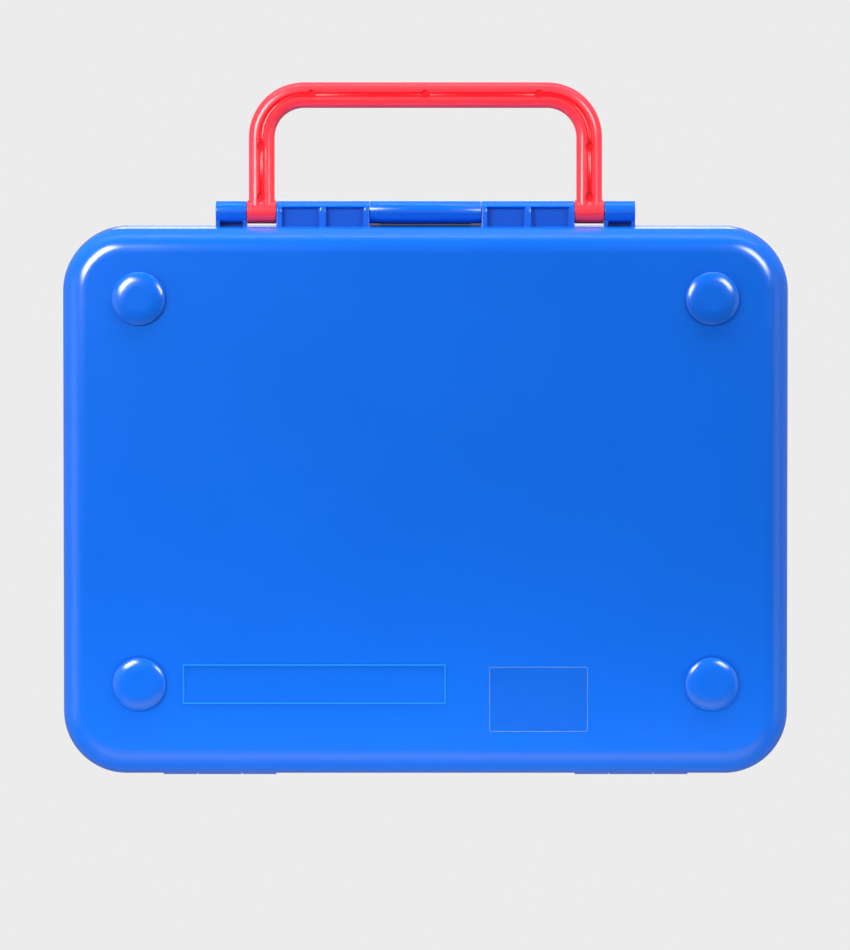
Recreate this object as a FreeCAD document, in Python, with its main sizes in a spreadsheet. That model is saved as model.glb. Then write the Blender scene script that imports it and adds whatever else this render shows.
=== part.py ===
import FreeCAD
import Part
import Sketcher
import math
import os
import re

# An art supply box: a moulded clamshell case that lies on four feet, with a carry handle and a snap
# latch on one rod along the front, and two pinned hinges along the back. +Z is up, -Y is the front.

# Driving dimensions, in millimetres and degrees
SIZES = {
    # Case halves, measured where they meet
    "case_width": 299.0,
    "case_depth": 224.7,
    "corner_radius": 27.3,
    "half_height": 27.7,
    "side_draft": 5.0,
    "hinge_draft": 0.5,
    "edge_radius": 10.2,
    "wall": 2.2,
    "root_depth": 0.7,
    # Tongue on the base rim that locates the lid on three sides
    "tongue_height": 1.6,
    "tongue_thickness": 1.0,
    "tongue_gap": 0.2,
    "tongue_setback": 45.0,
    # Feet and marks on the underside
    "foot_height": 2.6,
    "foot_radius": 10.75,
    "foot_flat_radius": 5.1,
    "foot_step": 0.97,
    "side_foot_inset": 33.05,
    "front_foot_inset": 30.7,
    "back_foot_inset": 37.3,
    "frame_length": 107.0,
    "frame_width": 16.2,
    "frame_line": 0.6,
    "frame_proud": 0.35,
    "frame_left": 45.2,
    "label_length": 40.0,
    "label_width": 26.4,
    "label_thickness": 0.12,
    "label_corner": 0.8,
    "label_right": 46.0,
    "label_inset": 31.1,
    # Row of barrels and blocks that carries the handle and the latch
    "pivot_drop": 7.5,
    "pivot_stand_off": 5.9,
    "barrel_radius": 4.55,
    "barrel_length": 12.7,
    "barrel_round": 0.5,
    "end_plate": 1.6,
    "end_plate_drop": 2.7,
    "web_thickness": 2.4,
    "block_length": 38.15,
    "block_rib": 2.1,
    "block_cap": 2.6,
    "pocket_depth": 2.6,
    "pocket_lean": 0.7,
    "side_gap": 0.2,
    "rod_radius": 1.5,
    "rod_recess": 0.6,
    "seat_gap": 0.02,
    "running_gap": 0.06,
    # Carry handle
    "handle_reach": 53.1,
    "handle_bar": 10.5,
    "handle_thickness": 8.6,
    "handle_round": 3.6,
    "handle_bend": 17.4,
    "channel_radius": 1.1,
    "dimple_radius": 1.9,
    "dimple_depth": 1.2,
    "dimple_spacing": 46.5,
    "dimple_rise": 26.4,
    "dimple_foot": 5.8,
    "boss_length": 11.75,
    "boss_radius": 4.85,
    "boss_round": 0.35,
    # Snap latch
    "latch_width": 45.5,
    "flap_height": 24.0,
    "flap_thickness": 2.4,
    "flap_gap": 0.55,
    "flap_corner": 3.0,
    "flap_wing": 1.2,
    "wing_gap": 0.4,
    "lip_reach": 2.4,
    "lip_thickness": 2.4,
    "bead_proud": 0.95,
    "bead_height": 2.4,
    "bead_drop": 8.0,
    "bead_length": 38.0,
    # Lid hinges
    "hinge_inset": 64.5,
    "hinge_stand_off": 0.2,
    "knuckle_radius": 1.9,
    "base_knuckle": 14.0,
    "lid_knuckle": 18.0,
    "knuckle_gap": 0.3,
    "hinge_pin_radius": 0.8,
    "hinge_pin_recess": 0.5,
    "hinge_pad": 1.8,
    "hinge_pad_height": 9.0,
    # Inserts in the base and the lid
    "tray_wall": 1.6,
    "tray_gap": 0.6,
    "tray_drop": 3.0,
    "tray_margin": 13.0,
    "tray_corner": 6.0,
    "trough_width": 42.0,
    "well_count": 3,
    "lid_well_count": 2,
}

# Places that follow from the driving dimensions, in the frame of the case's middle
PLACES = {
    "parting_z": "foot_height + half_height",
    "draft_run": "half_height * tan(side_draft)",
    "hinge_run": "half_height * tan(hinge_draft)",
    "front_rim_y": "-case_depth / 2",
    "back_rim_y": "case_depth / 2",
    "pivot_z": "foot_height + half_height - pivot_drop",
    "pivot_y": "-case_depth / 2 + pivot_drop * tan(side_draft) - pivot_stand_off",
    "pivot_root_y": "-case_depth / 2 + (pivot_drop + barrel_radius) * tan(side_draft) + root_depth",
    "foot_x": "case_width / 2 - side_foot_inset",
    "block_x": "latch_width / 2 + side_gap + block_length / 2",
    "leg_x": "latch_width / 2 + block_length + boss_length / 2 + 2 * side_gap",
    "barrel_x": "latch_width / 2 + block_length + boss_length + barrel_length / 2 + 3 * side_gap",
    "rod_half": "latch_width / 2 + block_length + boss_length + barrel_length + 3 * side_gap - rod_recess",
    "hinge_x": "case_width / 2 - hinge_inset",
    "hinge_y": "case_depth / 2 + hinge_stand_off",
    "hinge_half": "lid_knuckle / 2 + knuckle_gap + base_knuckle",
    "tray_width": "case_width - 2 * (wall + tray_gap + tray_drop * tan(side_draft))",
    "tray_front_y": "-case_depth / 2 + wall + tray_gap + tray_drop * tan(side_draft)",
    "tray_back_y": "case_depth / 2 - wall - hinge_pad - tray_gap",
    "tray_depth": "half_height - wall - tray_drop",
    "case_shift_y": "(handle_reach + pivot_stand_off - pivot_drop * tan(side_draft)"
                    " - hinge_stand_off - knuckle_radius) / 2",
}

CELLS = {name: f"Sizes.{name}" for name in SIZES} | {name: f"Places.{name}" for name in PLACES}
SIDES = {"left": -1, "right": 1}
NUDGE = 1.0
TOLERANCE = 1e-3

doc = FreeCAD.newDocument("ArtSupplyBox")
parts = []


def formula(text):
    """Point every size and place named in an expression at its cell."""
    return re.sub(r"[a-z]\w*", lambda word: CELLS.get(word[0], word[0]), text)


def fill_sheet(name, rows):
    """Write one sheet, with a name for each cell."""
    sheet = doc.addObject("Spreadsheet::Sheet", name)
    for row, (alias, content) in enumerate(rows.items(), 1):
        sheet.set(f"A{row}", alias)
        sheet.set(f"B{row}", str(content))
        sheet.setAlias(f"B{row}", alias)
    doc.recompute()
    return sheet


fill_sheet("Sizes", SIZES)
places = fill_sheet("Places", {name: f"={formula(text)}" for name, text in PLACES.items()})


def value(text):
    """The present value of an expression."""
    return float(places.evalExpression(formula(text)))


def bind(thing, **expressions):
    """Bind properties of an object to the sheets."""
    for name, text in expressions.items():
        thing.setExpression(name.replace("__", "."), formula(text))
    return thing


def place(thing, x="0", y="0", z="0"):
    """Bind an object's position to the sheets."""
    return bind(thing, Placement__Base__x=x, Placement__Base__y=y, Placement__Base__z=z)


def finish(thing, label, x="0", y="0", z="0"):
    """Name a finished sub-part and move it from the case's middle to the shared origin."""
    thing.Label = label
    place(thing, x, f"{y} + case_shift_y", z)
    parts.append(thing)


def block(name, x, y, z):
    """A rectangular block, with its low and high bound given for each direction."""
    thing = doc.addObject("Part::Box", name)
    bind(thing, Length=f"{x[1]} - ({x[0]})", Width=f"{y[1]} - ({y[0]})", Height=f"{z[1]} - ({z[0]})")
    return place(thing, x[0], y[0], z[0])


def tapered(name, x, y, z, lean):
    """A block that gets narrower upwards: it leans in at both ends along X and at its low Y side."""
    thing = doc.addObject("Part::Wedge", name)
    width, depth, height = (f"{high} - ({low})" for low, high in (x, y, z))
    bind(thing, Xmin="0", Ymin="0", Zmin="0", Z2min="0", Xmax=width, Ymax=height, Zmax=depth)
    bind(thing, X2min=lean, X2max=f"{width} - {lean}", Z2max=f"{depth} - {lean}")
    thing.Placement.Rotation = FreeCAD.Rotation(FreeCAD.Vector(1, 0, 0), 90)
    return place(thing, x[0], y[1], z[0])


def bar(name, radius, middle, length, y, z):
    """A round bar along X about a middle."""
    thing = doc.addObject("Part::Cylinder", name)
    bind(thing, Radius=radius, Height=length)
    thing.Placement.Rotation = FreeCAD.Rotation(FreeCAD.Vector(0, 1, 0), 90)
    return place(thing, f"{middle} - ({length}) / 2", y, z)


def fuse(name, things):
    """Join several solids."""
    thing = doc.addObject("Part::MultiFuse", name)
    thing.Shapes = things
    thing.Refine = True
    return thing


def cut(name, base, tool):
    """Take one solid from another."""
    thing = doc.addObject("Part::Cut", name)
    thing.Base = base
    thing.Tool = tool
    thing.Refine = True
    return thing


def rounded(name, base, radius, wanted):
    """Round the edges of a solid that a test picks out."""
    doc.recompute()
    thing = doc.addObject("Part::Fillet", name)
    thing.Base = base
    size = value(radius)
    thing.Edges = [(n, size, size) for n, edge in enumerate(base.Shape.Edges, 1) if wanted(edge)]
    return thing


def new_body(name):
    """A body to build features in."""
    return doc.addObject("PartDesign::Body", name)


def sketch_on(body, name, role, x="0", y="0", z="0"):
    """A sketch on one of a body's own planes, moved by an offset in the sketch's directions."""
    sketch = body.newObject("Sketcher::SketchObject", name)
    plane = next(item for item in body.Origin.OriginFeatures if item.Role == role)
    sketch.AttachmentSupport = [(plane, "")]
    sketch.MapMode = "FlatFace"
    bind(sketch, AttachmentOffset__Base__x=x, AttachmentOffset__Base__y=y, AttachmentOffset__Base__z=z)
    return sketch


def constrain(sketch, kind, *terms, size=None):
    """Add a constraint, bound to the sheets when it carries a size."""
    if size is None:
        sketch.addConstraint(Sketcher.Constraint(kind, *terms))
        return
    number = sketch.addConstraint(Sketcher.Constraint(kind, *terms, value(size)))
    sketch.setExpression(f"Constraints[{number}]", formula(size))


def add_arc(sketch, x, y, radius, start):
    """Add a quarter circle that starts at an angle in degrees."""
    circle = Part.Circle(FreeCAD.Vector(x, y, 0), FreeCAD.Vector(0, 0, 1), radius)
    return sketch.addGeometry(Part.ArcOfCircle(circle, math.radians(start), math.radians(start + 90)))


def add_line(sketch, start, end):
    """Add a straight line between two points."""
    return sketch.addGeometry(Part.LineSegment(FreeCAD.Vector(*start, 0), FreeCAD.Vector(*end, 0)))


def draw_rounded_rectangle(sketch, width, depth, radius):
    """Draw a rectangle with round corners about the sketch's origin."""
    half_x, half_y, round_off = value(width) / 2, value(depth) / 2, value(radius)
    mid_x, mid_y = half_x - round_off, half_y - round_off
    add_line(sketch, (-mid_x, -half_y), (mid_x, -half_y))
    add_arc(sketch, mid_x, -mid_y, round_off, -90)
    add_line(sketch, (half_x, -mid_y), (half_x, mid_y))
    add_arc(sketch, mid_x, mid_y, round_off, 0)
    add_line(sketch, (mid_x, half_y), (-mid_x, half_y))
    add_arc(sketch, -mid_x, mid_y, round_off, 90)
    add_line(sketch, (-half_x, mid_y), (-half_x, -mid_y))
    add_arc(sketch, -mid_x, -mid_y, round_off, 180)
    for item in range(8):
        constrain(sketch, "Tangent", item, 2, (item + 1) % 8, 1)
    for item, kind in ((0, "Horizontal"), (2, "Vertical"), (4, "Horizontal"), (6, "Vertical")):
        constrain(sketch, kind, item)
    for corner in (3, 5, 7):
        constrain(sketch, "Equal", 1, corner)
    constrain(sketch, "Symmetric", 1, 3, 5, 3, -1, 1)
    constrain(sketch, "Radius", 1, size=radius)
    constrain(sketch, "DistanceX", 6, 1, 2, 1, size=width)
    constrain(sketch, "DistanceY", 0, 1, 4, 1, size=depth)


def draw_circle(sketch, radius, x="0", y="0"):
    """Draw a circle at a point of the sketch."""
    centre = FreeCAD.Vector(value(x), value(y), 0)
    item = sketch.addGeometry(Part.Circle(centre, FreeCAD.Vector(0, 0, 1), value(radius)))
    constrain(sketch, "Radius", item, size=radius)
    for direction, text in (("DistanceX", x), ("DistanceY", y)):
        constrain(sketch, direction, item, 3, size=text)


def feature(body, kind, name, profile, **expressions):
    """Add a feature made from a sketch."""
    thing = body.newObject(f"PartDesign::{kind}", name)
    thing.Profile = profile
    return bind(thing, **expressions)


def on_level(edge, z):
    """Whether an edge lies wholly at a height."""
    return max(abs(vertex.Z - z) for vertex in edge.Vertexes) < TOLERANCE


def tub(name, way, inset, floor, radius):
    """A drafted tub, filled solid, from the parting plane down (way -1) or up (way 1).

    Its outline keeps an inset from the case's outside, and its far face stops short by a floor.
    """
    body = new_body(name)
    share = f"(half_height - {floor}) / half_height"
    far_z = f"parting_z + {way} * (half_height - {floor})"
    rim = sketch_on(body, f"{name}_rim", "XY_Plane", z="parting_z")
    draw_rounded_rectangle(
        rim, f"case_width - 2 * {inset}", f"case_depth - 2 * {inset}", f"corner_radius - {inset}")
    far = sketch_on(
        body, f"{name}_far", "XY_Plane", y=f"(draft_run - hinge_run) / 2 * {share}", z=far_z)
    draw_rounded_rectangle(
        far, f"case_width - 2 * {inset} - 2 * draft_run * {share}",
        f"case_depth - 2 * {inset} - (draft_run + hinge_run) * {share}",
        f"corner_radius - {inset} - draft_run * {share}")
    upper, lower = (rim, far) if way < 0 else (far, rim)
    loft = feature(body, "AdditiveLoft", f"{name}_walls", upper)
    loft.Sections = [lower]
    loft.Ruled = True
    doc.recompute()
    edge_round = body.newObject("PartDesign::Fillet", f"{name}_round")
    level = value(far_z)
    numbered = enumerate(loft.Shape.Edges, 1)
    edge_round.Base = (loft, [f"Edge{n}" for n, edge in numbered if on_level(edge, level)])
    bind(edge_round, Radius=radius)
    return body


def hollow_half(name, way):
    """One half of the case as an open shell."""
    outside = tub(f"{name}_outside", way, "0", "0", "edge_radius")
    inside = tub(f"{name}_inside", way, "wall", "wall", "edge_radius - wall")
    return cut(f"{name}_hollow", outside, inside)


def ring_pad(name, inset, height):
    """A straight plug with the case's outline at an inset, standing on the parting plane."""
    body = new_body(name)
    outline = sketch_on(body, f"{name}_outline", "XY_Plane", z="parting_z")
    draw_rounded_rectangle(
        outline, f"case_width - 2 * ({inset})", f"case_depth - 2 * ({inset})", f"corner_radius - ({inset})")
    feature(body, "Pad", f"{name}_pad", outline, Length=height)
    return body


def three_sided(name, plug, setback):
    """A plug without its strip along the hinge wall."""
    half = f"case_width / 2 + {NUDGE}"
    strip = block(
        f"{name}_strip", (f"-({half})", half), (f"back_rim_y - ({setback})", f"back_rim_y + {NUDGE}"),
        (f"parting_z - {NUDGE}", f"parting_z + tongue_height + tongue_gap + {NUDGE}"))
    return cut(name, plug, strip)


def tongue():
    """The tongue that stands up from the base rim."""
    outer = ring_pad("tongue_outer", "wall - tongue_thickness", "tongue_height")
    inner = ring_pad("tongue_inner", "wall", "tongue_height")
    return three_sided("tongue", cut("tongue_ring", outer, inner), "tongue_setback")


def tongue_room():
    """The room that the tongue needs in the lid's wall."""
    plug = ring_pad(
        "tongue_room_plug", "wall - tongue_thickness - tongue_gap", "tongue_height + tongue_gap")
    return three_sided("tongue_room", plug, "tongue_setback - tongue_gap")


def foot(name, x, y):
    """A foot with a straight side and a domed face with a flat to rest on, turned about its own axis."""
    body = new_body(name)
    profile = sketch_on(body, f"{name}_profile", "XZ_Plane")
    high, flat, wide = value("foot_height - foot_step"), value("foot_flat_radius"), value("foot_radius")
    root = value("foot_height + root_depth")
    run = wide - flat
    bend = (run * run + high * high) / (2 * high)
    sweep = math.asin(min(1, run / bend))
    add_line(profile, (0, root), (0, 0))
    add_line(profile, (0, 0), (flat, 0))
    dome = Part.Circle(FreeCAD.Vector(flat, bend, 0), FreeCAD.Vector(0, 0, 1), bend)
    profile.addGeometry(Part.ArcOfCircle(dome, -math.pi / 2, -math.pi / 2 + sweep))
    add_line(profile, (wide, high), (wide, root))
    add_line(profile, (wide, root), (0, root))
    constrain(profile, "Coincident", 0, 2, 1, 1)
    constrain(profile, "Coincident", 0, 2, -1, 1)
    constrain(profile, "Tangent", 1, 2, 2, 1)
    constrain(profile, "Coincident", 2, 2, 3, 1)
    constrain(profile, "Coincident", 3, 2, 4, 1)
    constrain(profile, "Coincident", 4, 2, 0, 1)
    for item, kind in ((0, "Vertical"), (1, "Horizontal"), (3, "Vertical"), (4, "Horizontal")):
        constrain(profile, kind, item)
    constrain(profile, "DistanceX", 1, 1, 1, 2, size="foot_flat_radius")
    constrain(profile, "DistanceX", 4, 2, 4, 1, size="foot_radius")
    constrain(profile, "DistanceY", 0, 2, 2, 2, size="foot_height - foot_step")
    constrain(profile, "DistanceY", 3, 1, 3, 2, size="foot_step + root_depth")
    turned = feature(body, "Revolution", f"{name}_dome", profile)
    turned.ReferenceAxis = (profile, ["V_Axis"])
    return place(body, x, y)


def feet():
    """The four feet of the base."""
    rows = {"front": "front_rim_y + front_foot_inset", "back": "back_rim_y - back_foot_inset"}
    return [
        foot(f"foot_{row}_{side}", f"{sign} * foot_x", y)
        for row, y in rows.items() for side, sign in SIDES.items()]


def frame_line():
    """The thin raised frame on the underside plate."""
    y = "back_rim_y - back_foot_inset"
    bounds = {}
    for name, inset in (("outer", "0"), ("inner", "frame_line")):
        half_x, half_y = f"(frame_length / 2 - {inset})", f"(frame_width / 2 - {inset})"
        bounds[name] = block(
            f"frame_{name}", (f"-frame_left - {half_x}", f"-frame_left + {half_x}"),
            (f"{y} - {half_y}", f"{y} + {half_y}"), ("foot_height - frame_proud", "foot_height + root_depth"))
    return cut("frame_line", bounds["outer"], bounds["inner"])


def outer_barrel(side, sign):
    """A barrel that holds a rod end, with a web behind it and a plate at each end."""
    name = f"barrel_{side}"
    middle = f"{sign} * barrel_x"
    tube = bar(f"{name}_tube", "barrel_radius", middle, "barrel_length", "pivot_y", "pivot_z")
    low, high = f"{middle} - barrel_length / 2", f"{middle} + barrel_length / 2"
    reach = ("pivot_y", "pivot_root_y")
    tall = ("pivot_z - end_plate_drop", "pivot_z + barrel_radius")
    pieces = [
        rounded(f"{name}_round", tube, "barrel_round", lambda edge: edge.Curve.TypeId == "Part::GeomCircle"),
        block(f"{name}_web", (low, high), reach, ("pivot_z + barrel_radius - web_thickness", tall[1])),
        block(f"{name}_inner_plate", (low, f"{low} + end_plate"), reach, tall),
        block(f"{name}_outer_plate", (f"{high} - end_plate", high), reach, tall)]
    return fuse(name, pieces)


def pivot_block(side, sign):
    """An arched block beside the latch, with two pockets in its underside."""
    name = f"block_{side}"
    middle = f"{sign} * block_x"
    low, high = f"{middle} - block_length / 2", f"{middle} + block_length / 2"
    under, over = "pivot_z - barrel_radius", "pivot_z + barrel_radius"
    arch = fuse(f"{name}_arch", [
        block(f"{name}_body", (low, high), ("pivot_y", "pivot_root_y"), (under, over)),
        bar(f"{name}_crown", "barrel_radius", middle, "block_length", "pivot_y", "pivot_z")])
    soft = rounded(f"{name}_round", arch, "barrel_round", lambda edge: edge.BoundBox.XLength < TOLERANCE)
    roof = ("pivot_y - barrel_radius + block_cap", "pivot_root_y - root_depth")
    span = "(block_length - 3 * block_rib) / 2"
    starts = (f"{low} + block_rib", f"{low} + 2 * block_rib + {span}")
    pockets = [
        tapered(f"{name}_pocket_{n}", (start, f"{start} + {span}"), roof,
                (under, f"{under} + pocket_depth"), "pocket_lean")
        for n, start in enumerate(starts, 1)]
    return cut(name, soft, fuse(f"{name}_pockets", pockets))


def knuckle_spans(sign):
    """The middles and lengths of one hinge's knuckles: base, lid, base."""
    middle = f"{sign} * hinge_x"
    step = "(lid_knuckle / 2 + knuckle_gap + base_knuckle / 2)"
    return {"base": [f"{middle} - {step}", f"{middle} + {step}"], "lid": [middle]}


def knuckles(half, grow="0"):
    """All knuckles of one half of the case, or the room around them."""
    label = "knuckle" if grow == "0" else "knuckle_room"
    bars = []
    for side, sign in SIDES.items():
        for n, middle in enumerate(knuckle_spans(sign)[half], 1):
            bars.append(bar(
                f"{half}_{label}_{side}_{n}", f"knuckle_radius + {grow}", middle,
                f"{half}_knuckle + 2 * {grow}", "hinge_y", "parting_z"))
    return bars


def hinge_pads(half, way):
    """Thick places inside the hinge wall, behind the knuckles."""
    bounds = sorted((0, way))
    pads = []
    for side, sign in SIDES.items():
        middle = f"{sign} * hinge_x"
        pads.append(block(
            f"{half}_hinge_pad_{side}", (f"{middle} - hinge_half", f"{middle} + hinge_half"),
            ("back_rim_y - wall - hinge_pad", "back_rim_y - wall + root_depth"),
            tuple(f"parting_z + {bound} * hinge_pad_height" for bound in bounds)))
    return pads


def hinge_bores(half, gap):
    """The bores for the hinge pins through one half's knuckles."""
    return [
        bar(f"{half}_bore_{side}", f"hinge_pin_radius + {gap}", f"{sign} * hinge_x",
            f"2 * hinge_half + {NUDGE}", "hinge_y", "parting_z")
        for side, sign in SIDES.items()]


def base_shell():
    """The lower half of the case with everything moulded on it."""
    solid = fuse("base_solid", [hollow_half("base", -1), *hinge_pads("base", -1)])
    roomy = cut("base_notched", solid, fuse("base_notches", knuckles("lid", "knuckle_gap")))
    brackets = [make(side, sign) for make in (outer_barrel, pivot_block) for side, sign in SIDES.items()]
    whole = fuse("base_whole", [roomy, tongue(), frame_line(), *feet(), *brackets, *knuckles("base")])
    rod_bore = bar(
        "rod_bore", "rod_radius + seat_gap", "0", f"2 * rod_half + 4 * {NUDGE}", "pivot_y", "pivot_z")
    bores = fuse("base_bores", [rod_bore, *hinge_bores("base", "seat_gap")])
    finish(cut("base_shell", whole, bores), "base_shell")


def lid_shell():
    """The upper half of the case, with its knuckles and the bead that the latch snaps over."""
    solid = fuse("lid_solid", [hollow_half("lid", 1), *hinge_pads("lid", 1)])
    rooms = fuse("lid_notches", [tongue_room(), *knuckles("base", "knuckle_gap")])
    roomy = cut("lid_notched", solid, rooms)
    bead_z = "pivot_z + flap_height - bead_drop"
    bead = block(
        "catch_bead", ("-bead_length / 2", "bead_length / 2"),
        (f"front_rim_y - bead_proud + ({bead_z} - parting_z) * tan(side_draft)", "front_rim_y + wall"),
        (bead_z, f"{bead_z} + bead_height"))
    whole = fuse("lid_whole", [roomy, bead, *knuckles("lid")])
    bores = fuse("lid_bores", hinge_bores("lid", "running_gap"))
    finish(cut("lid_shell", whole, bores), "lid_shell")


def draw_handle_path(sketch):
    """Draw the handle's middle line: leg, bend, bar, bend, leg."""
    leg, reach, bend = value("leg_x"), value("handle_reach - handle_bar / 2"), value("handle_bend")
    add_line(sketch, (-leg, 0), (-leg, bend - reach))
    add_arc(sketch, bend - leg, bend - reach, bend, 180)
    add_line(sketch, (bend - leg, -reach), (leg - bend, -reach))
    add_arc(sketch, leg - bend, bend - reach, bend, 270)
    add_line(sketch, (leg, bend - reach), (leg, 0))
    for item in range(4):
        constrain(sketch, "Tangent", item, 2, item + 1, 1)
    for item, kind in ((0, "Vertical"), (2, "Horizontal"), (4, "Vertical")):
        constrain(sketch, kind, item)
    constrain(sketch, "PointOnObject", 0, 1, -1)
    constrain(sketch, "PointOnObject", 4, 2, -1)
    constrain(sketch, "DistanceX", 0, 1, -1, 1, size="leg_x")
    constrain(sketch, "DistanceX", -1, 1, 4, 2, size="leg_x")
    constrain(sketch, "Equal", 1, 3)
    constrain(sketch, "Radius", 1, size="handle_bend")
    constrain(sketch, "DistanceY", 2, 1, -1, 1, size="handle_reach - handle_bar / 2")


def dimple_points():
    """Where the round dimples sit along the handle's channel."""
    bar_y = "-(handle_reach - handle_bar / 2)"
    along_bar = [(f"{n} * dimple_spacing", bar_y) for n in (-1, 0, 1)]
    rises = ("dimple_rise", "dimple_foot")
    along_legs = [(f"{sign} * leg_x", f"-{rise}") for sign in SIDES.values() for rise in rises]
    return along_bar + along_legs


def handle():
    """The carry handle, modelled about its pivot axis and lying straight out from the case."""
    body = new_body("handle")
    path = sketch_on(body, "handle_path", "XY_Plane")
    draw_handle_path(path)
    section = sketch_on(body, "handle_section", "XZ_Plane", x="-leg_x")
    draw_rounded_rectangle(section, "handle_bar", "handle_thickness", "handle_round")
    feature(body, "AdditivePipe", "handle_sweep", section).Spine = path
    for face, sign in (("under", -1), ("over", 1)):
        groove = sketch_on(body, f"channel_{face}_section", "XZ_Plane", x="-leg_x")
        draw_circle(groove, "channel_radius", y=f"{sign} * handle_thickness / 2")
        feature(body, "SubtractivePipe", f"channel_{face}", groove).Spine = path
    for side, sign in SIDES.items():
        round_boss = sketch_on(body, f"boss_{side}_circle", "YZ_Plane", z=f"{sign} * leg_x")
        draw_circle(round_boss, "boss_radius")
        boss = feature(body, "Pad", f"boss_{side}", round_boss, Length="boss_length")
        boss.SideType = "Symmetric"
    doc.recompute()
    soft = body.newObject("PartDesign::Fillet", "boss_round")
    soft.Base = (boss, [f"Edge{n}" for n, edge in enumerate(boss.Shape.Edges, 1) if is_boss_rim(edge)])
    bind(soft, Radius="boss_round")
    for face, sign in (("under", -1), ("over", 1)):
        circles = sketch_on(body, f"dimples_{face}_circles", "XY_Plane", z=f"{sign} * handle_thickness / 2")
        for x, y in dimple_points():
            draw_circle(circles, "dimple_radius", x, y)
        dimples = feature(body, "Pocket", f"dimples_{face}", circles, Length="dimple_depth")
        dimples.Reversed = sign < 0
    hole = sketch_on(body, "handle_bore_circle", "YZ_Plane")
    draw_circle(hole, "rod_radius + running_gap")
    bore = feature(body, "Pocket", "handle_bore", hole)
    bore.Type = "ThroughAll"
    bore.SideType = "Symmetric"
    finish(body, "handle", y="pivot_y", z="pivot_z")


def is_boss_rim(edge):
    """Whether an edge is one of the round rims of the handle's bosses."""
    circle = edge.isClosed() and edge.Curve.TypeId == "Part::GeomCircle"
    return circle and abs(edge.Curve.Radius - value("boss_radius")) < TOLERANCE


def draw_outline(sketch, points):
    """Draw a closed outline of straight lines through points given by their expressions."""
    corners = [(value(x), value(y)) for x, y in points]
    for n, corner in enumerate(corners):
        add_line(sketch, corner, corners[(n + 1) % len(corners)])
    for n, (x, y) in enumerate(points):
        constrain(sketch, "Coincident", n, 2, (n + 1) % len(points), 1)
        constrain(sketch, "DistanceX", n, 1, size=x)
        constrain(sketch, "DistanceY", n, 1, size=y)


def latch():
    """The snap latch: a barrel on the rod, a flap over the lid's front, wider above the blocks, and a lip."""
    body = new_body("latch")
    round_barrel = sketch_on(body, "latch_barrel_circle", "YZ_Plane")
    draw_circle(round_barrel, "barrel_radius")
    barrel = feature(body, "Pad", "latch_barrel", round_barrel, Length="latch_width")
    barrel.SideType = "Symmetric"
    inner = "pivot_stand_off - pivot_drop * tan(side_draft) - flap_gap"
    outer = f"{inner} - flap_thickness"
    foot = "barrel_radius + wing_gap"
    stem_outline = sketch_on(body, "flap_stem_outline", "YZ_Plane")
    draw_outline(stem_outline, [(inner, "0"), (inner, foot), (outer, foot), (outer, "0")])
    stem = feature(body, "Pad", "flap_stem", stem_outline, Length="latch_width")
    stem.SideType = "Symmetric"
    outline = sketch_on(body, "flap_outline", "YZ_Plane")
    draw_outline(outline, [
        (inner, foot), (inner, "flap_height"), (f"{outer} - lip_reach", "flap_height"),
        (f"{outer} - lip_reach", "flap_height - lip_thickness"),
        (outer, "flap_height - lip_thickness"), (outer, foot)])
    flap = feature(body, "Pad", "flap", outline, Length="latch_width + 2 * flap_wing")
    flap.SideType = "Symmetric"
    doc.recompute()
    soft = body.newObject("PartDesign::Fillet", "flap_round")
    top, half = value("flap_height"), value("latch_width / 2 + flap_wing")
    soft.Base = (flap, [
        f"Edge{n}" for n, edge in enumerate(flap.Shape.Edges, 1)
        if edge.BoundBox.YLength > NUDGE and edge.BoundBox.ZLength < TOLERANCE
        and abs(edge.BoundBox.ZMin - top) < TOLERANCE and abs(abs(edge.BoundBox.XMin) - half) < TOLERANCE])
    bind(soft, Radius="flap_corner")
    hole = sketch_on(body, "latch_bore_circle", "YZ_Plane")
    draw_circle(hole, "rod_radius + running_gap")
    bore = feature(body, "Pocket", "latch_bore", hole)
    bore.Type = "ThroughAll"
    bore.SideType = "Symmetric"
    finish(body, "latch", y="pivot_y", z="pivot_z")


def rods():
    """The pivot rod and the two hinge pins."""
    rod = bar("pivot_rod", "rod_radius", "0", "2 * rod_half", "0", "0")
    finish(rod, "pivot_rod", "-rod_half", "pivot_y", "pivot_z")
    for side, sign in SIDES.items():
        name = f"hinge_pin_{side}"
        half = "(hinge_half - hinge_pin_recess)"
        pin = bar(name, "hinge_pin_radius", "0", f"2 * {half}", "0", "0")
        finish(pin, name, f"{sign} * hinge_x - {half}", "hinge_y", "parting_z")


def well(name, way, mouth_z, spans, grow, floor):
    """A well of a tray filled solid, grown sideways by a wall and stopped short by a floor."""
    middles = [f"(({low}) + ({high})) / 2" for low, high in spans]
    lengths = [f"({high}) - ({low}) + 2 * {grow}" for low, high in spans]
    body = new_body(name)
    outline = sketch_on(body, f"{name}_outline", "XY_Plane", *middles, mouth_z)
    draw_rounded_rectangle(outline, *lengths, f"tray_corner + {grow}")
    pad = feature(body, "Pad", f"{name}_pad", outline, Length=f"tray_depth - {floor}")
    pad.Reversed = way < 0
    return body


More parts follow.
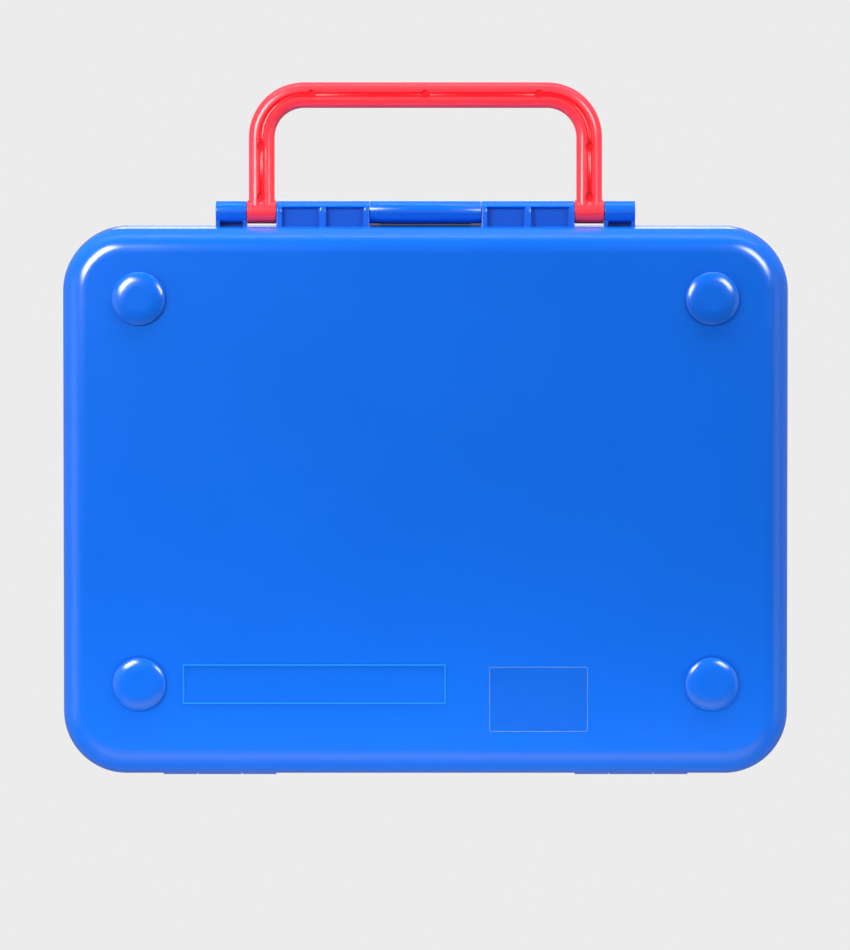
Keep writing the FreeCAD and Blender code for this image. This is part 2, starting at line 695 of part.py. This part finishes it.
def tray(name, way, mouth_z, wells):
    """A moulded insert: a flange with open wells below it, in the base (way -1) or the lid (way 1)."""
    deck = new_body(f"{name}_deck")
    middle_y = "(tray_front_y + tray_back_y) / 2"
    outline = sketch_on(deck, f"{name}_outline", "XY_Plane", y=middle_y, z=mouth_z)
    draw_rounded_rectangle(
        outline, "tray_width", "tray_back_y - tray_front_y", "corner_radius - wall - tray_gap")
    flange = feature(deck, "Pad", f"{name}_flange", outline, Length="tray_wall")
    flange.Reversed = way < 0
    numbered = list(enumerate(wells, 1))
    cups = [well(f"{name}_cup_{n}", way, mouth_z, spans, "tray_wall", "0") for n, spans in numbered]
    hollows = [well(f"{name}_well_{n}", way, mouth_z, spans, "0", "tray_wall") for n, spans in numbered]
    finish(cut(name, fuse(f"{name}_solid", [deck, *cups]), fuse(f"{name}_wells", hollows)), name)


def well_row(count, y):
    """A row of equal wells across a tray."""
    span = "(tray_width - 2 * tray_margin)"
    pitch = f"({span} + 2 * tray_wall) / {count}"
    return [
        ((f"-{span} / 2 + {n} * {pitch}", f"-{span} / 2 + {n + 1} * {pitch} - 2 * tray_wall"), y)
        for n in range(int(value(count)))]


def trays():
    """The insert of the base, with two long troughs and a row of wells, and the insert of the lid."""
    front, back = "tray_front_y + tray_margin", "tray_back_y - tray_margin"
    front_trough = (front, f"{front} + trough_width")
    back_trough = (f"{back} - trough_width", back)
    between = (f"{front_trough[1]} + 2 * tray_wall", f"{back_trough[0]} - 2 * tray_wall")
    wells = [*well_row("1", front_trough), *well_row("well_count", between), *well_row("1", back_trough)]
    tray("supply_tray", -1, "parting_z - tray_drop", wells)
    tray("lid_tray", 1, "parting_z + tray_drop", well_row("lid_well_count", (front, back)))


def clear_label():
    """The blank film label on the underside plate."""
    half_x, half_y = "label_length / 2", "label_width / 2"
    y = "(back_rim_y - label_inset)"
    film = block(
        "label_film", (f"label_right - {half_x}", f"label_right + {half_x}"),
        (f"{y} - {half_y}", f"{y} + {half_y}"), ("foot_height - label_thickness", "foot_height"))
    label = rounded("clear_label", film, "label_corner", lambda edge: edge.BoundBox.ZLength > TOLERANCE)
    finish(label, "clear_label")


base_shell()
lid_shell()
handle()
latch()
rods()
trays()
clear_label()
doc.recompute()

failed = [thing.Label for thing in doc.Objects if {"Invalid", "Error"} & set(thing.State)]
failed += [thing.Label for thing in parts if thing.Shape.isNull() or not thing.Shape.isValid()]
if failed:
    raise RuntimeError(f"These did not build: {failed}")

os.makedirs("parts", exist_ok=True)
for thing in parts:
    thing.Shape.exportStep(f"parts/{thing.Label}.step")
    print(thing.Label, len(thing.Shape.Solids), round(thing.Shape.Volume), thing.Shape.BoundBox)
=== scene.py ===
"""Studio scene of a moulded art supply box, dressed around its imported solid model."""

from __future__ import annotations

import logging
import math
from collections.abc import Mapping
from dataclasses import dataclass
from enum import Enum
from typing import Any

import bpy
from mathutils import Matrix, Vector


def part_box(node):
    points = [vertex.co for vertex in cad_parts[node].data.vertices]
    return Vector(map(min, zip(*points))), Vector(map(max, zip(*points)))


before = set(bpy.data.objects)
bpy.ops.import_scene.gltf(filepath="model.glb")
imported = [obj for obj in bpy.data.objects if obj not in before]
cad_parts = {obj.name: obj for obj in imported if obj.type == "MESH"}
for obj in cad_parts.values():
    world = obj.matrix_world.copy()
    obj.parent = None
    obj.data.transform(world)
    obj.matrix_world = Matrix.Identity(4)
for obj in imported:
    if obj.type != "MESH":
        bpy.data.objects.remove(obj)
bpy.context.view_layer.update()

LOG = logging.getLogger("art_supply_box")
MM = 0.001

Rgb = tuple[float, float, float]
Vec = tuple[float, float, float]
Span = tuple[float, float]

MEAN = 0.5
WHITE: Rgb = (1.0, 1.0, 1.0)
CASE_MIDDLE: Vec = (0.0, 28 * MM, 20 * MM)


class Solid(Enum):
    """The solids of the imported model."""

    BASE = "base_shell"
    LID = "lid_shell"
    HANDLE = "handle"
    LATCH = "latch"
    ROD = "pivot_rod"
    PIN_LEFT = "hinge_pin_left"
    PIN_RIGHT = "hinge_pin_right"
    BASE_TRAY = "supply_tray"
    LID_TRAY = "lid_tray"
    FILM = "clear_label"


class Value:
    """A socket of a node tree that is written into Python expressions."""

    def __init__(self, graph: Graph, socket: bpy.types.NodeSocket) -> None:
        """Wrap one socket of a graph."""
        self.graph = graph
        self.socket = socket

    def _math(self, operation: str, *terms: Value | float) -> Value:
        """Add a Math node on some terms."""
        return self.graph.node("ShaderNodeMath", {"operation": operation}, dict(enumerate(terms)))

    def __add__(self, other: Value | float) -> Value:
        """This value plus another."""
        return self._math("ADD", self, other)

    def __radd__(self, other: float) -> Value:
        """A number plus this value."""
        return self._math("ADD", other, self)

    def __sub__(self, other: Value | float) -> Value:
        """This value less another."""
        return self._math("SUBTRACT", self, other)

    def __rsub__(self, other: float) -> Value:
        """A number less this value."""
        return self._math("SUBTRACT", other, self)

    def __mul__(self, other: Value | float) -> Value:
        """This value times another."""
        return self._math("MULTIPLY", self, other)

    def __rmul__(self, other: float) -> Value:
        """A number times this value."""
        return self._math("MULTIPLY", other, self)

    def __abs__(self) -> Value:
        """This value without its sign."""
        return self._math("ABSOLUTE", self)

    def step(self, low: float, high: float) -> Value:
        """A soft step.

        Args:
            low: Where the step leaves 0.
            high: Where the step reaches 1.

        Returns:
            The step, from 0 to 1.
        """
        inputs = {"Value": self, "From Min": low, "From Max": high}
        return self.graph.node("ShaderNodeMapRange", {"interpolation_type": "SMOOTHSTEP"}, inputs)

    def most(self, other: Value | float) -> Value:
        """The larger of this value and another."""
        return self._math("MAXIMUM", self, other)


Input = Value | float | tuple[float, ...]


class Graph:
    """A node tree and the one way to add nodes to it."""

    COLOUR_SOCKETS = (0, 6, 7, 2)

    def __init__(self, tree: bpy.types.NodeTree) -> None:
        """Start from an empty tree."""
        self.tree = tree
        tree.nodes.clear()

    def node(
        self,
        kind: str,
        settings: Mapping[str, Any] | None = None,
        inputs: Mapping[str | int, Input] | None = None,
        output: str | int = 0,
    ) -> Value:
        """Add a node.

        Args:
            kind: The node's type.
            settings: Its own settings, which are set first.
            inputs: Values or links of its sockets, by name or number.
            output: The socket that is handed back.

        Returns:
            The chosen output, or the first input where a node has no output.
        """
        made = self.tree.nodes.new(kind)
        for name, setting in (settings or {}).items():
            setattr(made, name, setting)
        for name, entry in (inputs or {}).items():
            if isinstance(entry, Value):
                self.tree.links.new(entry.socket, made.inputs[name])
            else:
                made.inputs[name].default_value = entry
        return Value(self, made.outputs[output] if made.outputs else made.inputs[0])

    def place(self) -> Value:
        """The point of the surface in the shared frame at rest, in metres."""
        return self.node("ShaderNodeTexCoord", output="Object")

    def axes(self, vector: Value) -> list[Value]:
        """The three parts of a vector."""
        split = self.node("ShaderNodeSeparateXYZ", inputs={0: vector})
        return [Value(self, socket) for socket in split.socket.node.outputs]

    def stretched(self, vector: Value, factors: Vec) -> Value:
        """A vector scaled along each axis."""
        return self.node("ShaderNodeVectorMath", {"operation": "MULTIPLY"}, {0: vector, 1: factors})

    def noise(self, vector: Value, grain: float, detail: float = 2.0) -> Value:
        """Smooth noise.

        Args:
            vector: Where it is read.
            grain: The size of its lumps, in metres.
            detail: How many finer layers it has.

        Returns:
            A value around one half.
        """
        return self.node("ShaderNodeTexNoise", {}, {"Vector": vector, "Scale": 1.0 / grain, "Detail": detail})

    def mix(self, factor: Value, low: Value | Rgb, high: Value | Rgb) -> Value:
        """A colour between two colours.

        Args:
            factor: 0 for the first colour, 1 for the second.
            low: The first colour.
            high: The second colour.

        Returns:
            The mixed colour.
        """
        share, first, second, result = self.COLOUR_SOCKETS
        ends = [end if isinstance(end, Value) else (*end, 1.0) for end in (low, high)]
        inputs = {share: factor, first: ends[0], second: ends[1]}
        return self.node("ShaderNodeMix", {"data_type": "RGBA"}, inputs, result)

    def outside(self, x: Value, y: Value) -> Value:
        """How far a point lies from a corner that it has passed by x and y, each 0 or more."""
        step = self.node("ShaderNodeCombineXYZ", inputs={"X": x.most(0.0), "Y": y.most(0.0)})
        return self.node("ShaderNodeVectorMath", {"operation": "LENGTH"}, {0: step}, "Value")

    def bump(self, height: Value, depth: float) -> Value:
        """A normal tilted by a height that runs over a depth in metres."""
        return self.node("ShaderNodeBump", {}, {"Strength": 1.0, "Distance": depth, "Height": height})

    def glow(self, colour: Rgb) -> Value:
        """A surface that shines evenly in one colour."""
        return self.node("ShaderNodeEmission", {}, {"Color": (*colour, 1.0), "Strength": 1.0})

    def sky(self, colour: Rgb, strength: float = 1.0) -> Value:
        """Surroundings of one colour."""
        return self.node("ShaderNodeBackground", {}, {"Color": (*colour, 1.0), "Strength": strength})

    def blend(self, factor: Value, low: Value, high: Value) -> Value:
        """A shader between two shaders, from 0 for the first to 1 for the second."""
        return self.node("ShaderNodeMixShader", {}, {0: factor, 1: low, 2: high})

    def surface(self, shader: Value) -> None:
        """Make a shader the material's surface."""
        self.node("ShaderNodeOutputMaterial", inputs={"Surface": shader})


def new_graph(name: str) -> tuple[bpy.types.Material, Graph]:
    """Make a material.

    Args:
        name: The material's name.

    Returns:
        The material and its empty graph.
    """
    material = bpy.data.materials.new(name)
    material.use_nodes = True
    return material, Graph(material.node_tree)


@dataclass(frozen=True)
class MouldedPlastic:
    """Pigmented plastic from a fine satin mould, with flow shades, gloss patches and a little dust."""

    name: str
    colour: Rgb
    shade: Rgb
    roughness: float
    index: float = 1.53
    gloss_patch: float = 0.05
    flow_size: float = 70 * MM
    flow_step: Span = (0.3, 0.7)
    patch_size: float = 22 * MM
    grain_size: float = 0.45 * MM
    grain_depth: float = 0.002 * MM
    grain_gloss: float = 0.03
    wave_size: float = 26 * MM
    wave_depth: float = 0.03 * MM
    speck_size: float = 1.1 * MM
    speck_step: Span = (0.84, 0.90)
    speck_gloss: float = 0.03
    dust: float = 0.03
    dust_colour: Rgb = (0.55, 0.66, 0.82)

    def pigment(self, graph: Graph, place: Value) -> Value:
        """The colour at a place, with the broad shades of the melt's flow."""
        flow = graph.noise(place, self.flow_size, detail=3.0)
        return graph.mix(flow.step(*self.flow_step), self.shade, self.colour)

    def material(self) -> bpy.types.Material:
        """The finish.

        Returns:
            The material.
        """
        material, graph = new_graph(self.name)
        place = graph.place()
        patch = graph.noise(place, self.patch_size, detail=4.0)
        grain = graph.noise(place, self.grain_size, detail=2.0)
        wave = graph.noise(place, self.wave_size, detail=1.0)
        speck = graph.noise(place, self.speck_size, detail=0.0).step(*self.speck_step)
        uneven = (patch - MEAN) * self.gloss_patch + (grain - MEAN) * self.grain_gloss
        graph.surface(graph.node("ShaderNodeBsdfPrincipled", {}, {
            "Base Color": graph.mix(speck * patch * self.dust, self.pigment(graph, place), self.dust_colour),
            "Roughness": self.roughness + uneven + speck * self.speck_gloss,
            "IOR": self.index,
            "Normal": graph.bump(grain * self.grain_depth + wave * self.wave_depth, depth=1.0),
        }))
        return material


@dataclass(frozen=True)
class CasePlastic(MouldedPlastic):
    """The case's plastic, with a painted highlight: a paler blue on the top of the thin raised frame under
    the base.
    """

    # Painted highlight: the paler blue laid on the raised frame's top, standing in for light caught by the
    # ridge.
    crest_highlight: Rgb = (0.010, 0.185, 0.64)
    frame_middle: Vec = (-45.2 * MM, 103.17 * MM, 2.25 * MM)
    frame_half: Span = (53.5 * MM, 8.1 * MM)
    frame_proud: float = 0.35 * MM
    crest_highlight_step: Span = (0.3, 0.9)
    margin: float = 1.0 * MM

    def pigment(self, graph: Graph, place: Value) -> Value:
        """The plain pigment with the painted highlight on the frame's top.

        Args:
            graph: The material's graph.
            place: The point of the surface.

        Returns:
            The colour.
        """
        x, y, z = graph.axes(place)
        off_x = abs(x - self.frame_middle[0]).step(self.frame_half[0], self.frame_half[0] + self.margin)
        off_y = abs(y - self.frame_middle[1]).step(self.frame_half[1], self.frame_half[1] + self.margin)
        depth = (z - self.frame_middle[2]).step(*(self.frame_proud * share for share in self.crest_highlight_step))
        # Painted highlight: mask of the frame's top, mixed toward the paler blue.
        crest_highlight = (1.0 - off_x.most(off_y)) * (1.0 - depth)
        return graph.mix(crest_highlight, super().pigment(graph, place), self.crest_highlight)


@dataclass(frozen=True)
class HandlePlastic(MouldedPlastic):
    """The handle's plastic, with painted shade: a deeper red down in the channel along the handle's middle
    line.
    """

    # Painted shade: the deeper red laid in the channel.
    channel_shade: Rgb = (0.88, 0.012, 0.022)
    leg_x: float = 67.18 * MM
    bar_y: float = -137.32 * MM
    bend: float = 17.4 * MM
    channel_half: float = 1.1 * MM
    channel_floor: float = 0.77 * MM
    channel_end_y: float = -94.6 * MM

    def pigment(self, graph: Graph, place: Value) -> Value:
        """The plain pigment with painted shade in the channel.

        Args:
            graph: The material's graph.
            place: The point of the surface.

        Returns:
            The colour.
        """
        x, y, _ = graph.axes(place)
        away = graph.outside(abs(x) - (self.leg_x - self.bend), (self.bar_y + self.bend) - y)
        # Painted shade: mask of the channel's floor, mixed toward the deeper red.
        channel = 1.0 - abs(away - self.bend).step(self.channel_floor, self.channel_half)
        on_bar = 1.0 - y.step(self.channel_end_y, self.channel_end_y + self.channel_half)
        return graph.mix(channel * on_bar, super().pigment(graph, place), self.channel_shade)


@dataclass(frozen=True)
class DrawnSteel:
    """Bright drawn steel rod, with fine lines along X and a few dull places."""

    name: str
    colour: Rgb = (0.56, 0.57, 0.58)
    shade: Rgb = (0.40, 0.41, 0.42)
    roughness: float = 0.24
    line_size: float = 0.12 * MM
    line_stretch: float = 0.02
    line_depth: float = 0.004 * MM
    line_step: Span = (0.3, 0.7)
    line_gloss: float = 0.12
    dull_size: float = 7 * MM
    dull_step: Span = (0.45, 0.7)
    dull_gloss: float = 0.15

    def material(self) -> bpy.types.Material:
        """The finish.

        Returns:
            The material.
        """
        material, graph = new_graph(self.name)
        place = graph.place()
        drawn = graph.stretched(place, (self.line_stretch, 1.0, 1.0))
        lines = graph.noise(drawn, self.line_size, detail=3.0)
        dull = graph.noise(place, self.dull_size, detail=3.0).step(*self.dull_step)
        graph.surface(graph.node("ShaderNodeBsdfPrincipled", {}, {
            "Base Color": graph.mix(lines.step(*self.line_step), self.shade, self.colour),
            "Metallic": 1.0,
            "Roughness": self.roughness + lines * self.line_gloss + dull * self.dull_gloss,
            "Normal": graph.bump(lines, self.line_depth),
        }))
        return material


@dataclass(frozen=True)
class ClearFilm:
    """Clear self-adhesive film: a faint veil, pale cut edges and a few trapped bubbles."""

    name: str
    colour: Rgb = (0.03, 0.14, 0.48)
    edge_colour: Rgb = (0.30, 0.55, 0.90)
    roughness: float = 0.12
    index: float = 1.5
    veil: float = 0.05
    edge: float = 0.22
    edge_width: float = 0.35 * MM
    bubble: float = 0.012
    bubble_size: float = 1.6 * MM
    bubble_step: Span = (0.74, 0.78)
    ripple_size: float = 9 * MM
    ripple_depth: float = 0.05 * MM
    ripple_gloss: float = 0.1

    def material(self) -> bpy.types.Material:
        """The finish, with its edges read from the label's own outline.

        Returns:
            The material.
        """
        material, graph = new_graph(self.name)
        low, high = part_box(Solid.FILM.value)
        middle, half = (low + high) / 2, (high - low) / 2
        place = graph.place()
        x, y, _ = graph.axes(place)
        reach_x = abs(x - middle.x).step(half.x - self.edge_width, half.x - self.edge_width / 2)
        reach_y = abs(y - middle.y).step(half.y - self.edge_width, half.y - self.edge_width / 2)
        rim = reach_x.most(reach_y)
        bubbles = graph.noise(place, self.bubble_size, detail=0.0).step(*self.bubble_step)
        ripple = graph.noise(place, self.ripple_size, detail=2.0)
        graph.surface(graph.node("ShaderNodeBsdfPrincipled", {}, {
            "Base Color": graph.mix(rim, self.colour, self.edge_colour),
            "Roughness": self.roughness + ripple * self.ripple_gloss,
            "IOR": self.index,
            "Alpha": self.veil + self.edge * rim + self.bubble * bubbles,
            "Normal": graph.bump(ripple, self.ripple_depth),
        }))
        return material


CASE_BLUE = CasePlastic("case_blue", (0.0027, 0.099, 0.54), (0.0024, 0.095, 0.52), 0.20, index=1.8)
HANDLE_RED = HandlePlastic("handle_red", (0.90, 0.036, 0.055), (0.88, 0.033, 0.051), 0.24, index=1.7)
TRAY_WHITE = MouldedPlastic("tray_white", (0.80, 0.80, 0.78), (0.76, 0.765, 0.75), 0.46)
ROD_STEEL = DrawnSteel("rod_steel")
LABEL_FILM = ClearFilm("label_film")


@dataclass(frozen=True)
class SoftEdges:
    """Slightly broken corners, of a radius at most: the bevel narrows it until no edges overlap."""

    radius: float
    segments: int = 2
    angle: float = math.radians(32)
    weld: float = 0.002 * MM

    def add(self, thing: bpy.types.Object) -> None:
        """Break a solid's corners as far as its closest edges leave room, without touching its mesh.

        Args:
            thing: The solid.
        """
        thing.modifiers.new("one_skin", "WELD").merge_threshold = self.weld
        soft = thing.modifiers.new("soft_corners", "BEVEL")
        soft.width = self.radius
        soft.segments = self.segments
        soft.limit_method = "ANGLE"
        soft.angle_limit = self.angle
        soft.miter_outer = "MITER_ARC"
        soft.harden_normals = True


class Dressed:
    """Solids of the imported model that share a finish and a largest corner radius."""

    def dress(self, solids: tuple[Solid, ...], finish: bpy.types.Material, edges: SoftEdges | None) -> None:
        """Give some solids their finish.

        Args:
            solids: The solids to dress.
            finish: Their material.
            edges: The corners that they get, if any.
        """
        for solid in solids:
            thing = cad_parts[solid.value]
            thing.data.materials.clear()
            thing.data.materials.append(finish)
            if edges:
                edges.add(thing)
            LOG.info("%s in %s", solid.value, finish.name)


@dataclass
class Case(Dressed):
    """The two halves of the clamshell, with the latch that closes them."""

    corner: float = 0.2 * MM

    def build(self) -> None:
        """Dress the shells and the latch in the same blue."""
        blue = CASE_BLUE.material()
        self.dress((Solid.BASE, Solid.LID, Solid.LATCH), blue, SoftEdges(self.corner))


@dataclass
class Handle(Dressed):
    """The carry handle."""

    corner: float = 0.2 * MM

    def build(self) -> None:
        """Dress the handle in red."""
        self.dress((Solid.HANDLE,), HANDLE_RED.material(), SoftEdges(self.corner))


@dataclass
class Rods(Dressed):
    """The pivot rod and the hinge pins."""

    corner: float = 0.15 * MM

    def build(self) -> None:
        """Dress the rods in drawn steel."""
        steel = ROD_STEEL.material()
        self.dress((Solid.ROD, Solid.PIN_LEFT, Solid.PIN_RIGHT), steel, SoftEdges(self.corner))


@dataclass
class Inserts(Dressed):
    """The trays in the base and the lid."""

    corner: float = 0.5 * MM

    def build(self) -> None:
        """Dress the trays in white."""
        self.dress((Solid.BASE_TRAY, Solid.LID_TRAY), TRAY_WHITE.material(), SoftEdges(self.corner))


@dataclass
class Label(Dressed):
    """The blank film label on the underside."""

    def build(self) -> None:
        """Dress the film."""
        self.dress((Solid.FILM,), LABEL_FILM.material(), None)


@dataclass(frozen=True)
class Softbox:
    """One soft studio lamp, with its places and sizes in metres."""

    name: str
    place: Vec
    aim: Vec
    width: float
    height: float
    radiance: float
    shine: bool = True

    def build(self) -> None:
        """Hang the lamp and aim it; without shine it only lights, and is not mirrored in the plastic."""
        lamp = bpy.data.lights.new(self.name, "AREA")
        lamp.shape = "RECTANGLE"
        lamp.size = self.width
        lamp.size_y = self.height
        lamp.energy = self.radiance * math.pi * self.width * self.height
        holder = bpy.data.objects.new(self.name, lamp)
        holder.location = self.place
        holder.rotation_euler = (Vector(self.place) - Vector(self.aim)).to_track_quat("Z", "Y").to_euler()
        holder.visible_camera = False
        holder.visible_glossy = self.shine
        bpy.context.scene.collection.objects.link(holder)


@dataclass
class Studio:
    """The floor, the surroundings, the lamps and the camera."""

    floor_half: float = 6.0
    floor_drop: float = 0.2 * MM
    floor_colour: Rgb = (0.34, 0.34, 0.34)
    floor_glow: Rgb = (0.36, 0.36, 0.36)
    floor_mirrored: Rgb = (0.16, 0.16, 0.17)
    floor_sweep: Span = (0.3, 2.2)
    case_corner: float = 27 * MM
    handle_side: float = 34 * MM
    handle_front: float = 20 * MM
    row_gap: float = 9 * MM
    window_soft: float = 1 * MM
    backdrop: Rgb = (0.838, 0.838, 0.838)
    room_dim: float = 0.03
    room_bright: float = 0.25
    room_step: Span = (-0.6, 0.3)
    camera_place: Vec = (-0.2 * MM, -24.45 * MM, -1672.5 * MM)
    camera_aim: Vec = (-0.2 * MM, 18.1 * MM, 2.6 * MM)
    camera_lens: float = 156.29
    sensor: float = 36.0
    clip_start: float = 0.01
    lamps: tuple[Softbox, ...] = (
        Softbox("under_left", (-0.315, -0.25, -0.40), CASE_MIDDLE, 0.25, 0.18, 16.5),
        Softbox("under_right", (0.37, -0.295, -0.43), CASE_MIDDLE, 0.23, 0.17, 12.0),
        Softbox("under_left_side", (-0.62, 0.03, -0.49), CASE_MIDDLE, 0.6, 0.4, 0.12),
        Softbox("under_left_fill", (-0.55, 0.03, -0.18), CASE_MIDDLE, 0.4, 0.25, 7.0, shine=False),
        Softbox("under_right_side", (0.70, 0.03, -0.27), CASE_MIDDLE, 0.6, 0.4, 0.12),
        Softbox("under_right_fill", (0.60, 0.03, -0.18), CASE_MIDDLE, 0.4, 0.25, 4.4, shine=False),
        Softbox("under_front", (0.0, -0.90, -0.14), CASE_MIDDLE, 1.4, 0.2, 23.0, shine=False),
        Softbox("under_back", (0.0, 0.19, -0.08), (0.0, 0.13, 0.0), 0.4, 0.06, 5.5, shine=False),
        Softbox("under_back_glow", (0.0, 0.60, -0.45), CASE_MIDDLE, 0.9, 0.35, 0.07),
        Softbox("over_front", (0.0, -0.62, 1.35), CASE_MIDDLE, 0.6, 0.5, 2.5),
        Softbox("over_left", (-0.9, -0.8, 1.35), CASE_MIDDLE, 0.9, 0.9, 8.0, shine=False),
        Softbox("over_right", (1.25, -0.33, 1.24), CASE_MIDDLE, 0.9, 0.9, 5.0, shine=False),
    )

    def build(self) -> None:
        """Set the whole studio up."""
        self._floor()
        self._surroundings()
        for lamp in self.lamps:
            lamp.build()
        self._camera()

    def _floor(self) -> None:
        """Lay a pale floor that only shows from above."""
        half, level = self.floor_half, -self.floor_drop
        mesh = bpy.data.meshes.new("floor")
        corners = [(-half, -half, level), (half, -half, level), (half, half, level), (-half, half, level)]
        mesh.from_pydata(corners, [], [(0, 1, 2, 3)])
        floor = bpy.data.objects.new("floor", mesh)
        material, graph = new_graph("floor_paper")
        x, y, _ = graph.axes(graph.place())
        sweep = graph.outside(abs(x), abs(y)).step(*self.floor_sweep)
        paper = graph.node("ShaderNodeBsdfDiffuse", {}, {"Color": (*self.floor_colour, 1.0)})
        near = graph.node("ShaderNodeAddShader", {}, {0: paper, 1: graph.glow(self.floor_glow)})
        pale = graph.blend(sweep, near, graph.glow(self.backdrop))
        mirrored = graph.node("ShaderNodeLightPath", output="Is Glossy Ray")
        top = graph.blend(mirrored, pale, graph.glow(self.floor_mirrored))
        behind = graph.node("ShaderNodeNewGeometry", output="Backfacing")
        hole = behind.most(mirrored * self._window(graph))
        graph.surface(graph.blend(hole, top, graph.node("ShaderNodeBsdfTransparent")))
        mesh.materials.append(material)
        floor.visible_diffuse = False
        floor.visible_transmission = False
        floor.visible_shadow = False
        bpy.context.scene.collection.objects.link(floor)

    def _window(self, graph: Graph) -> Value:
        """Find where the plastic mirrors the lamps below the floor: under the case, row and handle.

        Args:
            graph: The floor's graph.

        Returns:
            1 in the window and 0 outside it.
        """
        low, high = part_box(Solid.LID.value)
        grip_low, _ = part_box(Solid.HANDLE.value)
        x, y, _ = graph.axes(graph.place())
        soft, corner, reach = self.window_soft, self.case_corner, self.handle_side - grip_low.x
        half_x, half_y = high.x - corner, (high.y - low.y) / 2 - corner
        away = graph.outside(abs(x) - half_x, abs(y - (high.y + low.y) / 2) - half_y)
        case = 1.0 - away.step(corner - soft, corner)
        side = abs(x).step(reach - soft, reach)
        front = (grip_low.y - y).step(self.handle_front - soft, self.handle_front)
        back = (y - low.y).step(-self.row_gap, soft - self.row_gap)
        return case.most(1.0 - side.most(front).most(back))

    def _surroundings(self) -> None:
        """Fill the room with soft light: bright round the sides, dim behind the camera."""
        world = bpy.data.worlds.new("studio_room")
        world.use_nodes = True
        bpy.context.scene.world = world
        graph = Graph(world.node_tree)
        _, _, up = graph.axes(graph.node("ShaderNodeTexCoord", output="Generated"))
        room = up.step(*self.room_step)
        lit = graph.blend(room, graph.sky(WHITE, self.room_dim), graph.sky(WHITE, self.room_bright))
        camera_ray = graph.node("ShaderNodeLightPath", output="Is Camera Ray")
        shader = graph.blend(camera_ray, lit, graph.sky(self.backdrop))
        graph.node("ShaderNodeOutputWorld", inputs={"Surface": shader})

    def _camera(self) -> None:
        """Look up at the underside, with the handle at the top of the picture."""
        data = bpy.data.cameras.new("camera")
        data.lens = self.camera_lens
        data.sensor_width = self.sensor
        data.clip_start = self.clip_start
        camera = bpy.data.objects.new("camera", data)
        place, aim = Vector(self.camera_place), Vector(self.camera_aim)
        camera.location = place
        tilt = math.atan2(aim.y - place.y, aim.z - place.z)
        camera.rotation_euler = (math.pi - tilt, 0.0, 0.0)
        bpy.context.scene.collection.objects.link(camera)
        bpy.context.scene.camera = camera


def plain_colours() -> None:
    """Show the colours as they are, with no film look."""
    settings = bpy.context.scene.view_settings
    settings.view_transform = "Standard"
    settings.look = "None"


def main() -> None:
    """Dress the box and set up the studio."""
    logging.basicConfig(level=logging.INFO, format="%(name)s: %(message)s")
    plain_colours()
    for assembly in (Case(), Handle(), Rods(), Inserts(), Label()):
        assembly.build()
    Studio().build()


if __name__ == "__main__":
    main()
